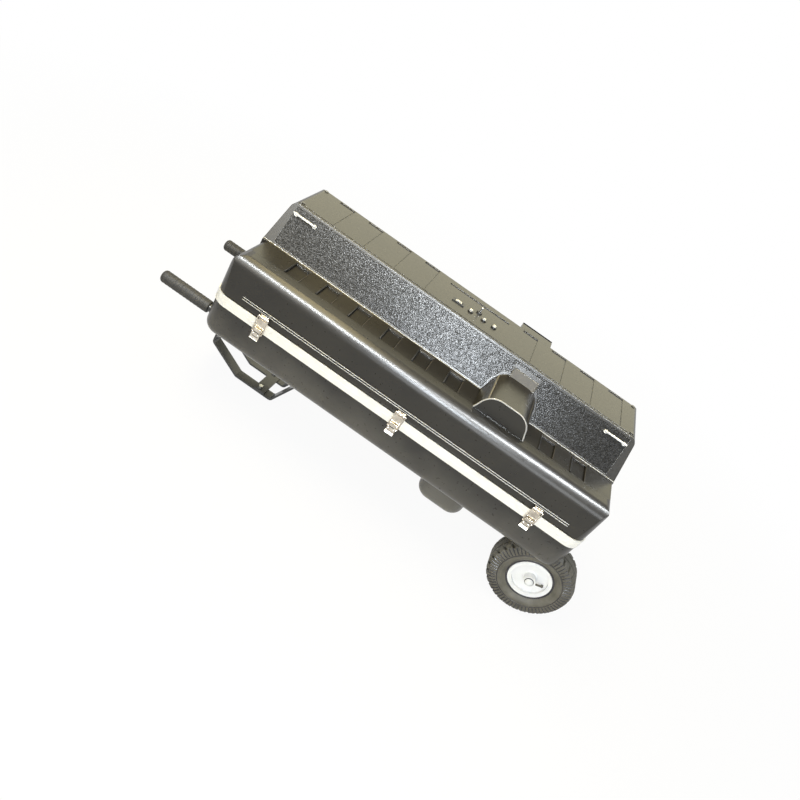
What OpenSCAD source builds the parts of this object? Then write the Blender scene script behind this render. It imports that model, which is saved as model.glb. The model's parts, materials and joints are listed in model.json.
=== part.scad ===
// Tennis ball machine in a long wheeled case with a hinged lid.
// Millimetres, +Z up from the ground, the front with the latches is -Y, the wheels are at +X.

/* [Case] */
// Length of the case over the valance band
case_l = 1224; // [1200:1:1260]
// Depth of the case over the valance band
case_d = 500; // [490:1:520]
// Height of the base underside above the ground
base_z = 216; // [208:1:222]
// Height of the base wall below the valance band
base_h = 111; // [108:1:120]
// Height of each half of the valance band
valance_h = 16; // [14:1:18]
// Radius of the case corners in plan
corner_r = 48; // [40:1:56]
// Wall thickness of the moulded shells
wall = 5; // [4.5:0.1:5.5]

/* [Lid] */
// Height of the front ridge above the parting line
ridge_h = 139; // [134:1:144]
// Height of the flat top above the parting line
lid_h = 248; // [244:1:256]
// Distance of the crease below the sloped face from the front
crease_y = 181; // [176:1:186]
// Distance of the top front edge from the front
top_y = 250; // [244:1:256]
// Radius of the ridge end above the handles
handle_end_r = 36; // [30:1:38]
// Radius of the ridge end above the wheels
wheel_end_r = 18; // [14:1:24]
// Pitch of the ribbed pockets along the lid
pocket_pitch = 105; // [100:1:110]
// Width of one plateau pocket
pocket_w = 45; // [38:1:50]
// Depth of the plateau pockets
pocket_t = 4.5; // [3:0.1:5]

/* [Hood and pan] */
// Place of the throw head along the case
head_x = 232; // [226:1:238]
// Width of the hood where it stands on the plateau
hood_w = 164; // [160:1:172]
// Height of the hood above the ridge
hood_h = 64; // [60:1:68]
// Width of the pan at the base underside
pan_w = 154; // [150:1:160]
// Depth of the pan from front to back
pan_d = 224; // [220:1:230]
// Height of the pan below the base underside
pan_h = 102; // [98:1:108]

/* [Wheels] */
// Diameter of the road tyres
tyre_d = 260; // [256:1:264]
// Width of the road tyres
tyre_w = 84; // [78:1:88]
// Diameter of the rim flange
rim_d = 130; // [124:1:134]
// Diameter of the axle
axle_d = 16; // [14:0.5:18]
// Number of tread lugs around a tyre
lugs = 30; // [24:1:34]

/* [Handles] */
// Distance between the two handle tubes
handle_gap = 345; // [335:1:350]
// Height of the handle tubes above the base underside
handle_up = 28; // [26:1:32]
// Diameter of the handle grips
grip_d = 38; // [34:1:40]
// Length of the handle grips
grip_l = 164; // [140:1:180]
// Diameter of the handle tubes
tube_d = 25; // [22:1:27]

/* [Legs] */
// Width of the leg straps
leg_w = 37; // [32:1:40]
// Thickness of the leg straps
leg_t = 6; // [5:0.5:7]
// Distance between the centre lines of the two straps
leg_gap = 95; // [90:1:110]

/* [Throw head] */
// Diameter of the throw wheels
throw_d = 144; // [140:1:148]
// Width of the throw wheels
throw_w = 50; // [44:1:52]
// Gap between the throw wheels for the ball
nip = 54; // [52:1:56]

/* [Feed] */
// Width of the feed belt
belt_w = 90; // [80:1:96]
// Diameter of the feed rollers
roller_d = 40; // [36:1:42]
// Number of cleats on the feed belt
cleats = 7; // [5:1:8]

/* [Latches and controls] */
// Width of a latch base plate
latch_w = 28; // [26:1:30]
// Distance of the outer latches from the ends of the case
latch_in = 163; // [150:1:180]
// Diameter of the push buttons
button_d = 10; // [9:0.5:11]

/* [Hidden] */
$fn = 64;
eps = 0.5;
// running gap between bodies
gap = 0.3;
// radial play of a pin in its bore
play = 0.08;
// how far the valance band stands out from the shells
skin = 3;
// how far latches and hinges stand out from the band
stand_out = 12;
half_l = case_l / 2;
half_d = case_d / 2;
split_z = base_z + base_h + valance_h;
lid_z = split_z + gap;
top_z = split_z + lid_h;
ridge_z = split_z + ridge_h;
plateau_z = ridge_z - 6;
floor_z = base_z + wall;
front = skin - half_d;
back = half_d - skin;
crease = front + crease_y - skin;
top_front = front + top_y - skin;
top_back = back - 45;
// slope of the front face and the shift of its inner side per unit of wall
slope = atan2(top_z - plateau_z, top_front - crease);
shift = tan(slope / 2);
slope_l = norm([top_front - crease, top_z - plateau_z]);
handle_out = 178;
handle_z = base_z + handle_up;
wheel_x = half_l - 24;
wheel_y = half_d - 68;
wheel_z = tyre_d / 2;
well_r = wheel_z + 12;
well_in = wheel_y - tyre_w / 2 - 6;
well_out = wheel_y + tyre_w / 2 + 8;
// places of the axle hangers and of the inner hub ends
hanger_y = well_in - 8;
hub_y = wheel_y - tyre_w / 2 + 2;
// shift that centres the bounding box on the origin
frame_x = (half_l + handle_out - wheel_x - wheel_z) / 2;
head_y = front + 182;
pivot_z = split_z + 12;
throw_up = (throw_d + nip) / 2;
hood_x = head_x - 6;
pan_x = head_x + 7;
pan_z = base_z - pan_h;
plate_x = throw_w / 2 + 4;
plate_t = 4;
stand_x = pan_w / 2 + 9;
// battery standing between the head stand and the end wall
battery_l = 150;
battery_w = 110;
battery_h = 94;
battery_x = (pan_x + stand_x + 26 + half_l - skin - wall) / 2;
feed_y = 50;
feed_hi_x = 118;
feed_lo_x = 100 - half_l;
feed_lo_z = floor_z + roller_d / 2 + 8;
feed_hi_z = split_z - 44;
feed_tilt = atan2(feed_hi_z - feed_lo_z, feed_hi_x - feed_lo_x);
feed_l = norm([feed_hi_x - feed_lo_x, feed_hi_z - feed_lo_z]);
belt_t = 4;
rail_y = belt_w / 2 + 5;
rail_t = 5;
rail_z = split_z - 30;
tray_rise = 24;
// latches repeat at latch_gap, their levers turn at latch_z, bails hang bail_r below that
latch_gap = half_l - latch_in;
latch_z = split_z - 9;
latch_y = -half_d - 6;
bail_r = 10;
bail_top = 42;
hinge_y = half_d + stand_out - 5.6;
hinge_z = split_z + gap / 2;
hinge_gap = half_l - 192;
// places of the controls along the top
control_y = front + 323;
rocker_x = -48;
button_x = [-4, 42, 78];
toggle_x = 20;
panel_t = 3;
panel_l = half_l - 40;
// front edge of the plateau pockets and height of the front groove
pocket_y = front + 86;
groove_up = 41;
// places of the wire pulls on the panel, the distance of their posts and their height up the slope
pull_x = half_l - 80;
pull_gap = 62;
pull_v = slope_l - 29;
// inner radius of the bends in a leg strap
bend_r = 8;
// strap path of a leg in (x, z), from the end wall round to the flange under the base
leg_path = [[skin - half_l - leg_t / 2, base_z + 88], [skin - half_l - leg_t / 2, 66],
    [112 - half_l, leg_t / 2], [246 - half_l, leg_t / 2], [352 - half_l, base_z - leg_t / 2],
    [412 - half_l, base_z - leg_t / 2]];

function unit(v) = v / norm(v);
function flat(p) = [p[0], p[1]];
function prev_pt(pts, i) = flat(pts[(i + len(pts) - 1) % len(pts)]);
function next_pt(pts, i) = flat(pts[(i + 1) % len(pts)]);
function turn(pts, i) = cross(flat(pts[i]) - prev_pt(pts, i), next_pt(pts, i) - flat(pts[i]));
function side(path, i, h) = let (
        a = i == 0 ? unit(path[1] - path[0]) : unit(path[i] - path[i - 1]),
        b = i == len(path) - 1 ? a : unit(path[i + 1] - path[i]),
        n = unit([-a[1] - b[1], a[0] + b[0]])
    ) path[i] + n * h / (n * [-a[1], a[0]]);
function bend(path, i, h) = i == 0 || i == len(path) - 1 ? 0
    : cross(path[i] - path[i - 1], path[i + 1] - path[i]) * h > 0 ? bend_r : bend_r + 2 * abs(h);
function strap_pt(path, i, h) = concat(side(path, i, h), bend(path, i, h));

// the sliver between a corner and its rounding
module spandrel(pts, i) {
    p = flat(pts[i]);
    u = unit(prev_pt(pts, i) - p);
    w = unit(next_pt(pts, i) - p);
    half = acos(u * w) / 2;
    reach = pts[i][2] / tan(half);
    c = p + unit(u + w) * pts[i][2] / sin(half);
    difference() {
        polygon([p, p + u * reach, c, p + w * reach]);
        translate(c) circle(r = pts[i][2]);
    }
}

// outline of [u, v, radius] points, counter-clockwise
module rounded(pts) {
    difference() {
        union() {
            polygon([for (p = pts) flat(p)]);
            for (i = [0 : len(pts) - 1])
                if (pts[i][2] > 0 && turn(pts, i) < 0) spandrel(pts, i);
        }
        for (i = [0 : len(pts) - 1])
            if (pts[i][2] > 0 && turn(pts, i) > 0) spandrel(pts, i);
    }
}

module round_rect(hx, hy, r) {
    rounded([[-hx, -hy, r], [hx, -hy, r], [hx, hy, r], [-hx, hy, r]]);
}

module along_x(l) {
    rotate([90, 0, 90]) linear_extrude(l, center = true) children();
}

module along_y(l) {
    rotate([90, 0, 0]) linear_extrude(l, center = true) children();
}

module rod_x(r, l) {
    rotate([0, 90, 0]) cylinder(r = r, h = l, center = true);
}

module rod_y(r, l) {
    rotate([90, 0, 0]) cylinder(r = r, h = l, center = true);
}

module block(x0, x1, y0, y1, z0, z1) {
    translate([x0, y0, z0]) cube([x1 - x0, y1 - y0, z1 - z0]);
}

module place() {
    translate([frame_x, 0, 0]) children();
}

// open-topped box solid with plan corners of radius r and bottom edges of radius e
module rounded_tub(hx, hy, r, e, z0, z1) {
    cx = hx - r;
    cy = hy - r;
    along_x(2 * cx) rounded([[-hy, z0, e], [hy, z0, e], [hy, z1, 0], [-hy, z1, 0]]);
    along_y(2 * cy) rounded([[-hx, z0, e], [hx, z0, e], [hx, z1, 0], [-hx, z1, 0]]);
    for (sx = [0, 1], sy = [0, 1]) mirror([sx, 0, 0]) mirror([0, sy, 0]) translate([cx, cy, 0])
        rotate_extrude(angle = 90) rounded([[0, z0, 0], [r, z0, e], [r, z1, 0], [0, z1, 0]]);
}

// base tub, grown inwards by i
module tub(i) {
    rounded_tub(half_l - skin - i, half_d - skin - i, corner_r - skin - i, 36 - i,
        base_z + i, split_z - 3 + i);
}

// pan below the throw head
module pan(i) {
    translate([pan_x, head_y, 0]) rounded_tub(pan_w / 2 - i, pan_d / 2 - i, 44 - i, 32 - i,
        pan_z + i, base_z + (i > 0 ? wall + 1 : wall / 2));
}

module wells(i) {
    for (s = [-1, 1])
        translate([wheel_x, s * (well_in + well_out) / 2, wheel_z])
            rod_y(well_r + i, well_out - well_in + 2 * i);
}

module base_shell() {
    color([0.06, 0.06, 0.06]) place() difference() {
        union() {
            difference() {
                union() {
                    tub(0);
                    pan(0);
                }
                tub(wall);
                pan(wall);
            }
            intersection() {
                tub(1);
                wells(wall);
            }
        }
        wells(0);
        for (s = [-1, 1])
            translate([-half_l, s * handle_gap / 2, handle_z]) rod_x(tube_d / 2 + 4, 60);
        leg_bolt_places() rod_z_hole();
    }
}

module rod_z_hole() {
    cylinder(r = 4.2, h = 40, center = true);
}

// ring of the valance band with its web towards the parting line
module valance(z0, web_z) {
    difference() {
        translate([0, 0, z0]) linear_extrude(valance_h) round_rect(half_l, half_d, corner_r);
        translate([0, 0, z0 - 1]) linear_extrude(valance_h + 2)
            round_rect(half_l - skin, half_d - skin, corner_r - skin);
    }
    translate([0, 0, web_z]) linear_extrude(3) difference() {
        round_rect(half_l - 1, half_d - 1, corner_r - 1);
        round_rect(half_l - skin - 9, half_d - skin - 9, corner_r - skin - 9);
    }
}

module base_valance() {
    color([0.8, 0.8, 0.78]) place() valance(split_z - valance_h, split_z - 3);
}

module lid_valance() {
    color([0.8, 0.8, 0.78]) place() valance(lid_z, lid_z);
}

// point at angle a on the rounded end of the ridge, in (x, z)
function shoulder_pt(hx, z1, r, a) = [hx - 5 - r + r * cos(a), z1 - r + r * sin(a)];

// what the rounded end of the ridge and plateau takes off the lid, in planar facets
module shoulder(i, end_r) {
    hx = half_l - skin - i;
    z1 = ridge_z - i;
    r = end_r - i;
    y0 = front - 20;
    y1 = crease - 4 + i;
    last = shoulder_pt(hx, z1, r, 67.5);
    past = last + 1.5 * (shoulder_pt(hx, z1, r, 90) - last);
    translate([0, (y0 + y1) / 2, 0]) along_y(y1 - y0) polygon(concat([[hx, z1 - r - 24]],
        [for (a = [0 : 22.5 : 67.5]) shoulder_pt(hx, z1, r, a)],
        [past, [past[0], z1 + 9], [hx + 9, z1 + 9], [hx + 9, z1 - r - 24]]));
}

// main lid moulding, grown inwards by i
module lid_body(i) {
    hx = half_l - skin - i;
    hy = half_d - skin - i;
    z0 = lid_z + 3 - i;
    difference() {
        lid_block(hx, hy, z0, i);
        shoulder(i, wheel_end_r);
        mirror([1, 0, 0]) shoulder(i, handle_end_r);
    }
}

module lid_block(hx, hy, z0, i) {
    intersection() {
        translate([0, 0, z0]) linear_extrude(top_z - z0) round_rect(hx, hy, corner_r - skin - i);
        along_y(case_d) rounded([[2 - hx, z0, 0], [hx - 2, z0, 0], [hx - 5, plateau_z, 0],
            [hx - 20, top_z - i, 18 - i], [20 - hx, top_z - i, 18 - i], [5 - hx, plateau_z, 0]]);
        along_x(case_l) rounded([[front + 2 + i, z0, 0], [back - 2 - i, z0, 0],
            [top_back + 2 - i, top_z - 12 - i, 0],
            [top_back - 2 - i, top_z - 4 - i, 0], [top_back - 10 - i, top_z - i, 0],
            [top_front + shift * i, top_z - i, 0], [crease + shift * i, plateau_z - i, 5],
            [front + 82, plateau_z - i, 0], [front + 74, ridge_z - i, 0],
            [front + 11 + i, ridge_z - i, 36 - i]]);
    }
}

// arched hood over the upper throw wheel
module hood(i) {
    w = hood_w / 2 - i;
    y0 = front + 62 + i;
    y1 = top_front - 10;
    z1 = ridge_z + hood_h - i;
    translate([hood_x, (y0 + y1) / 2, 0]) along_y(y1 - y0) rounded([[-w, plateau_z - i - eps, 0],
        [w, plateau_z - i - eps, 0], [w - 20, z1, 50 - i], [20 - w, z1, 50 - i]]);
    translate([hood_x + 4, 0, 0]) along_x(84 - 2 * i) polygon([[crease + 20 + i, plateau_z],
        [top_front + 30, plateau_z], [top_front + 30, top_z - 22 - i], [top_front - 16, top_z - 24 - i],
        [top_front - 36 + i, z1 - 4], [crease + 20 + i, z1 - 8]]);
}

// bump on the back edge of the top
module bump(i) {
    z1 = top_z - 0.8 - i;
    translate([head_x - 25, 0, 0]) along_x(108 - 2 * i) rounded([[back - 80, lid_z + 90 + i, 0],
        [back - 14 - i, lid_z + 90 + i, 0], [back + 2 - i, lid_z + 130, 0],
        [back - 8 - i, z1, 12 - i], [back - 80, z1, 0]]);
}

// slots and grooves of the top
module top_marks() {
    for (k = [0 : 3], s = [-489, 190])
        block(s + k * pocket_pitch - 26, s + k * pocket_pitch + 26, front + 421, front + 433,
            top_z - 2.5, top_z + 1);
    for (k = [0 : 3], s = [-489, 190])
        block(s + k * pocket_pitch + 24, s + k * pocket_pitch + 26, top_front + 16, front + 421,
            top_z - 0.8, top_z + 1);
    block(-100, 114, front + 400, front + 409, top_z - 2.5, top_z + 1);
}

// long groove in the front wall, which leans back by 9 up to the ridge
module front_groove() {
    lean = 9 * groove_up / (ridge_z - lid_z);
    block(-527, 539, front - 10, front + lean + 4, lid_z + groove_up - 3, lid_z + groove_up + 3);
}

// shallow recess at the foot of the front face of the hood
module hood_mark() {
    block(hood_x - 38, hood_x + 29, front + 60, front + 64, ridge_z + 1, ridge_z + 8);
}

// pockets of the plateau grown by g at their sides, from z0 to z1
module pockets(g, z0, z1) {
    for (k = [0 : 9])
        let (x = k * pocket_pitch - 457, w = pocket_w / 2 + g)
            if (abs(x - hood_x) > hood_w / 2 + pocket_w / 2 + wall + 1)
                block(x - w, x + w, pocket_y - g, crease - 16 + g, z0, z1);
}

// frame of the sloped face: u runs along X, v runs up the slope, w stands out of it
module on_slope() {
    translate([0, crease, plateau_z]) rotate([slope, 0, 0]) children();
}

// outline of the panel, cut out around the hood, shrunk by g
module panel_outline(g) {
    w = hood_w / 2 + 4 + g;
    difference() {
        translate([-panel_l + g, 8 + g]) square([2 * panel_l - 2 * g, slope_l - 16 - 2 * g]);
        translate([hood_x, 0]) polygon([[-w, 0], [w, 0], [w - 5, slope_l * 0.3], [w - 28, slope_l * 0.6],
            [50 + g, slope_l * 0.67], [50 + g, slope_l - 14 + g], [-42 - g, slope_l - 14 + g],
            [-42 - g, slope_l * 0.67], [28 - w, slope_l * 0.6], [5 - w, slope_l * 0.3]]);
    }
}

module sloped_panel() {
    color([0.07, 0.07, 0.07]) place() difference() {
        on_slope() translate([0, 0, -panel_t]) linear_extrude(panel_t + 0.6) panel_outline(0.4);
        pull_places() cylinder(r = 2.6, h = 30, center = true);
    }
}

module lid_shell() {
    color([0.06, 0.06, 0.06]) place() difference() {
        union() {
            lid_body(0);
            hood(0);
            bump(0);
        }
        block(20 - half_l, half_l - 20, top_front + 8, top_front + 12, top_z - 1.5, top_z + 2);
        difference() {
            union() {
                lid_body(wall);
                hood(wall);
                bump(wall);
            }
            pockets(wall, plateau_z - pocket_t - wall, plateau_z);
        }
        top_marks();
        pockets(0, plateau_z - pocket_t, plateau_z + 1);
        hood_mark();
        on_slope() translate([0, 0, -panel_t]) linear_extrude(panel_t + 2) panel_outline(0);
        front_groove();
        pull_places() cylinder(r = 2.6, h = 30, center = true);
        translate([rocker_x, control_y, top_z]) cube([30, 11, 40], center = true);
        control_places() cylinder(r = 6.2, h = 40, center = true);
        toggle_place() cylinder(r = 6.2, h = 40, center = true);
        screw_places() cylinder(r = 2.1, h = 40, center = true);
    }
}

module pull_places() {
    for (s = [-1, 1], d = [-1, 1])
        on_slope() translate([s * pull_x + d * pull_gap / 2, pull_v, 0]) children();
}

module panel_pulls() {
    color([0.9, 0.9, 0.88]) place() {
        pull_places() translate([0, 0, 0.6]) cylinder(r = 6, h = 4);
        pull_places() translate([0, 0, -8]) cylinder(r = 2.5, h = 14);
        pull_places() translate([0, 0, 4]) cylinder(r = 3, h = 12);
        for (s = [-1, 1])
            on_slope() translate([s * pull_x, pull_v, 16]) rod_x(3, pull_gap + 12);
    }
}

module screw_places() {
    for (s = [-1, 1], y = [top_front + 22, top_back - 16])
        translate([s * (half_l - 42), y, top_z]) children();
}

module lid_screws() {
    color([0.2, 0.2, 0.2]) place() screw_places() {
        cylinder(r = 6, h = 2);
        translate([0, 0, -8]) cylinder(r = 2, h = 9);
    }
}

// three push buttons along the top
module control_places() {
    for (x = button_x) translate([x, control_y - 4, top_z]) children();
}

module toggle_place() {
    translate([toggle_x, control_y + 22, top_z]) children();
}

module button_collars() {
    color([0.03, 0.03, 0.03]) place() {
        control_places() difference() {
            union() {
                translate([0, 0, -12]) cylinder(r = 6, h = 13);
                cylinder(r = 9, h = 3);
            }
            cylinder(r = button_d / 2 + gap, h = 60, center = true);
        }
        toggle_place() difference() {
            union() {
                translate([0, 0, -12]) cylinder(r = 6, h = 13);
                cylinder(r = 9, h = 4, $fn = 6);
            }
            cylinder(r = 4.25, h = 60, center = true);
        }
    }
}

module button(k) {
    color([0.9, 0.9, 0.9]) place() translate([button_x[k], control_y - 4, top_z - 10])
        cylinder(r = button_d / 2, h = 17);
}

module button_left() {
    button(0);
}

module button_mid() {
    button(1);
}

module button_right() {
    button(2);
}

module toggle() {
    color([0.5, 0.5, 0.5]) place() toggle_place() {
        cylinder(r = 2.5, h = 18);
        translate([0, 0, 18]) sphere(r = 3.2);
        rod_y(3, 5.6);
    }
}

module switch_bezel() {
    color([0.03, 0.03, 0.03]) place() translate([rocker_x, control_y, 0]) difference() {
        union() {
            block(-20, 20, -10, 10, top_z, top_z + 3);
            block(-14.8, 14.8, -5.3, 5.3, top_z - 14, top_z + 1);
        }
        block(-13.5, 13.5, -4.4, 4.4, top_z - 20, top_z + 5);
        translate([0, 0, top_z - 4]) rod_y(1.5 + play, 9.8);
    }
}

module rocker() {
    color([0.85, 0.85, 0.85]) place() translate([rocker_x, control_y, top_z - 4]) {
        intersection() {
            along_y(8) polygon([[-12, -6], [12, -6], [12.4, 6.6], [0, 9.4], [-12.4, 6.6]]);
            rod_y(12.7, 20);
        }
        rod_y(1.5, 9.4);
    }
}

module control_box() {
    color([0.12, 0.12, 0.12]) place() difference() {
        block(rocker_x - 48, button_x[2] + 30, control_y - 26, control_y + 70, top_z - wall - 46,
            top_z - wall);
        block(rocker_x - 26, button_x[2] + 14, control_y - 18, control_y + 34, top_z - wall - 24, top_z);
    }
}

module hinge_spread() {
    for (k = [-1, 0, 1]) translate([k * hinge_gap, 0, 0]) children();
}

module hinge_base_leaves() {
    color([0.6, 0.6, 0.6]) place() hinge_spread() {
        block(-30, 30, half_d, half_d + 2, split_z - valance_h + 0.5, split_z - 8);
        for (s = [-1, 1]) {
            block(s * 20 - 10, s * 20 + 10, half_d, half_d + 2, split_z - 9, split_z - 2);
            translate([s * 20, hinge_y, hinge_z]) rod_x(5.6, 20);
        }
        translate([0, hinge_y, hinge_z]) rod_x(2.5, 58);
    }
}

module hinge_lid_leaves() {
    color([0.6, 0.6, 0.6]) place() hinge_spread() difference() {
        union() {
            block(-30, 30, half_d, half_d + 2, split_z + 9, lid_z + valance_h - 0.5);
            block(-9.6, 9.6, half_d, half_d + 2, split_z + 2, split_z + 10);
            translate([0, hinge_y, hinge_z]) rod_x(5.6, 19.2);
        }
        translate([0, hinge_y, hinge_z]) rod_x(2.5 + play, 80);
    }
}

module latch_spread() {
    for (k = [-1, 0, 1]) translate([k * latch_gap, 0, 0]) children();
}

module latch_plates() {
    color([0.75, 0.68, 0.56]) place() latch_spread() {
        block(-latch_w / 2, latch_w / 2, -half_d - 1.5, -half_d, latch_z - 16, split_z - 1);
        for (s = [-1, 1]) difference() {
            block(s * 11 - 1, s * 11 + 1, latch_y - 4, -half_d - 1, latch_z - 6, latch_z + 6);
            translate([0, latch_y, latch_z]) rod_x(1.5 + play, 40);
        }
    }
}

module latch_lever(k) {
    color([0.78, 0.7, 0.58]) place() translate([k * latch_gap, latch_y, latch_z]) difference() {
        union() {
            rod_x(1.5, 25);
            along_x(19) rounded([[-3, -24, 0], [1, -24, 0], [2.6, 0, 2], [1, 4, 1], [-2.6, 4, 1]]);
            block(-13, 13, -2.8, 2.2, -26, -8.6);
            along_x(26) polygon([[-6, -30], [-4.5, -31], [2.2, -26], [2.2, -23], [-2.8, -23]]);
        }
        translate([0, 0, -bail_r]) rod_x(1.5 + play, 60);
    }
}

module latch_lever_left() {
    latch_lever(-1);
}

module latch_lever_mid() {
    latch_lever(0);
}

module latch_lever_right() {
    latch_lever(1);
}

module latch_bail(k) {
    color([0.78, 0.7, 0.58]) place() translate([k * latch_gap, latch_y, latch_z]) {
        translate([0, 0, -bail_r]) rod_x(1.5, 34);
        for (s = [-1, 1]) {
            translate([s * 15.5, 0, -bail_r]) cylinder(r = 1.5, h = bail_r + bail_top);
            translate([s * 15.5, 0, bail_top]) sphere(r = 1.5);
        }
        translate([0, 0, bail_top]) rod_x(1.5, 31);
    }
}

module latch_bail_left() {
    latch_bail(-1);
}

module latch_bail_mid() {
    latch_bail(0);
}

module latch_bail_right() {
    latch_bail(1);
}

module latch_keepers() {
    color([0.75, 0.68, 0.56]) place() latch_spread() {
        block(-13, 13, -half_d - 1.5, -half_d, lid_z + 1, latch_z + bail_top + 5);
        along_x(22) polygon([[-half_d - 1, latch_z + bail_top - 12], [-half_d - 4, latch_z + bail_top - 7],
            [-half_d - 4, latch_z + bail_top], [-half_d - 1, latch_z + bail_top]]);
    }
}

module axle() {
    color([0.6, 0.6, 0.6]) place() translate([wheel_x, 0, wheel_z]) {
        rod_y(axle_d / 2, 2 * wheel_y + tyre_w - 2);
        for (s = [-1, 1])
            translate([0, s * (hanger_y + 3 + hub_y - gap) / 2, 0])
                rod_y(axle_d / 2 + 5, hub_y - gap - hanger_y - 3);
    }
}

module axle_hangers() {
    y = hanger_y;
    color([0.15, 0.15, 0.15]) place() for (s = [-1, 1]) difference() {
        union() {
            translate([wheel_x, s * y, 0]) along_y(6) polygon([[-20, wheel_z - 14], [20, wheel_z],
                [-18, base_z], [-100, base_z]]);
            translate([wheel_x, s * y, wheel_z]) rod_y(20, 6);
            block(wheel_x - 100, wheel_x - 18, s * (y - 12) - 15, s * (y - 12) + 15, base_z - 5, base_z);
        }
        translate([wheel_x, 0, wheel_z]) rod_y(axle_d / 2, case_d);
    }
}

module axle_caps() {
    color([0.1, 0.1, 0.1]) place() for (s = [-1, 1])
        translate([wheel_x, s * (wheel_y + tyre_w / 2 - 1), wheel_z]) rotate([-90 * s, 0, 0]) {
            cylinder(r = axle_d / 2 + 4, h = 3);
            translate([0, 0, 3]) cylinder(r1 = axle_d / 2 + 4, r2 = axle_d / 2, h = 3);
        }
}

// tyre section in (radius, width) with two tread grooves
module tyre(s) {
    w = tyre_w / 2;
    r = tyre_d / 2;
    f = rim_d / 2;
    color([0.05, 0.05, 0.05]) place() translate([wheel_x, s * wheel_y, wheel_z]) rotate([-90 * s, 0, 0])
        difference() {
            rotate_extrude() rounded([[f - 8.9, 19 - w, 0], [f + 1.5, 15 - w, 0], [f + 20, -w, 16],
                [r - 20, -w, 0], [r - 6, 5 - w, 0], [r, 15 - w, 0], [r, w - 15, 0], [r - 6, w - 5, 0],
                [r - 20, w, 0], [f + 20, w, 16],
                [f + 1.5, w - 15, 0], [f - 8.9, w - 19, 0]]);
            for (v = [-13, 13]) translate([0, 0, v - 2]) difference() {
                cylinder(r = r + 5, h = 4);
                translate([0, 0, -1]) cylinder(r = r - 5, h = 6);
            }
            for (k = [0 : lugs - 1], v = [-1, 1])
                rotate([0, 0, (k + v / 4) * 360 / lugs]) translate([r, 0, v * (w - 10)])
                    rotate([v * 28, 0, 0]) cube([18, 7, 26], center = true);
        }
}

module tyre_front() {
    tyre(-1);
}

module tyre_rear() {
    tyre(1);
}

module rim(s) {
    f = rim_d / 2;
    w = tyre_w / 2;
    a = axle_d / 2 + play;
    b = axle_d / 2 + 10;
    color([0.95, 0.95, 0.95]) place() translate([wheel_x, s * wheel_y, wheel_z]) rotate([-90 * s, 0, 0])
        difference() {
            rotate_extrude() polygon([[a, 2 - w], [b, 2 - w], [b, w - 28], [f - 13, w - 24],
                [f - 13, 10 - w], [f + 1, 10 - w], [f + 1, 14 - w], [f - 9, 16 - w], [f - 9, w - 16],
                [f + 1, w - 14], [f + 1, w - 10], [f - 11, w - 10], [f - 11, w - 20], [b + 4, w - 24],
                [b, w - 22], [b, w - 1.3], [a, w - 1.3]]);
            translate([f - 22, 0, 0]) cylinder(r = 4, h = tyre_w);
        }
}

module rim_front() {
    rim(-1);
}

module rim_rear() {
    rim(1);
}

module valve(s) {
    f = rim_d / 2;
    color([0.05, 0.05, 0.05]) place() translate([wheel_x, s * wheel_y, wheel_z]) rotate([-90 * s, 0, 0])
        translate([f - 22, 0, tyre_w / 2 - 32]) {
            cylinder(r = 3.8, h = 16);
            translate([0, 0, 16]) rotate([0, -70, 0]) cylinder(r = 3, h = 22);
            translate([0, 0, 16]) sphere(r = 3.8);
        }
}

module valve_front() {
    valve(-1);
}

module valve_rear() {
    valve(1);
}

module leg(s) {
    color([0.08, 0.08, 0.08]) place() difference() {
        translate([0, s * leg_gap / 2, 0]) along_y(leg_w) rounded(concat(
            [for (i = [len(leg_path) - 1 : -1 : 0]) strap_pt(leg_path, i, leg_t / 2)],
            [for (i = [0 : len(leg_path) - 1]) strap_pt(leg_path, i, -leg_t / 2)]));
        leg_bolt_places() rod_z_hole();
    }
}

module leg_front() {
    leg(-1);
}

module leg_rear() {
    leg(1);
}

module leg_cross_bar() {
    color([0.08, 0.08, 0.08]) place() difference() {
        block(182 - half_l, 220 - half_l, -leg_gap / 2 - leg_w / 2, leg_gap / 2 + leg_w / 2,
            leg_t, 2 * leg_t);
        leg_bolt_places() rod_z_hole();
    }
}

// bolts point along their own +Z out of the piece they hold
module leg_bolt_places() {
    for (s = [-1, 1]) {
        translate([196 - half_l, s * leg_gap / 2, 2 * leg_t]) children();
        translate([390 - half_l, s * leg_gap / 2, base_z - leg_t]) rotate([180, 0, 0]) children();
        translate([skin - half_l - leg_t, s * leg_gap / 2, base_z + 68]) rotate([0, -90, 0]) children();
    }
}

module leg_bolts() {
    color([0.75, 0.75, 0.75]) place() leg_bolt_places() {
        cylinder(r = 8, h = 5, $fn = 6);
        translate([0, 0, -11]) cylinder(r = 4, h = 12);
    }
}

module handle_bushes() {
    color([0.1, 0.1, 0.1]) place() for (s = [-1, 1])
        translate([skin - half_l, s * handle_gap / 2, handle_z]) difference() {
            union() {
                translate([-3, 0, 0]) rod_x(tube_d / 2 + 8, 6);
                translate([8, 0, 0]) rod_x(tube_d / 2 + 3.8, 18);
            }
            rod_x(tube_d / 2 + play, 80);
        }
}

module handle_guides() {
    color([0.1, 0.1, 0.1]) place() for (s = [-1, 1]) difference() {
        block(170 - half_l, 200 - half_l, s * handle_gap / 2 - 20, s * handle_gap / 2 + 20,
            floor_z, handle_z + tube_d / 2 + 7);
        translate([0, s * handle_gap / 2, handle_z]) rod_x(tube_d / 2 + play, case_l);
    }
}

module handle_tube(s) {
    color([0.7, 0.7, 0.7]) place() translate([0, s * handle_gap / 2, handle_z]) difference() {
        translate([(470 - handle_out + 8) / 2 - half_l, 0, 0]) rod_x(tube_d / 2, 470 + handle_out - 8);
        translate([(470 - handle_out + 8) / 2 - half_l + 20, 0, 0])
            rod_x(tube_d / 2 - 2, 470 + handle_out - 8);
    }
}

module handle_tube_front() {
    handle_tube(-1);
}

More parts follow.
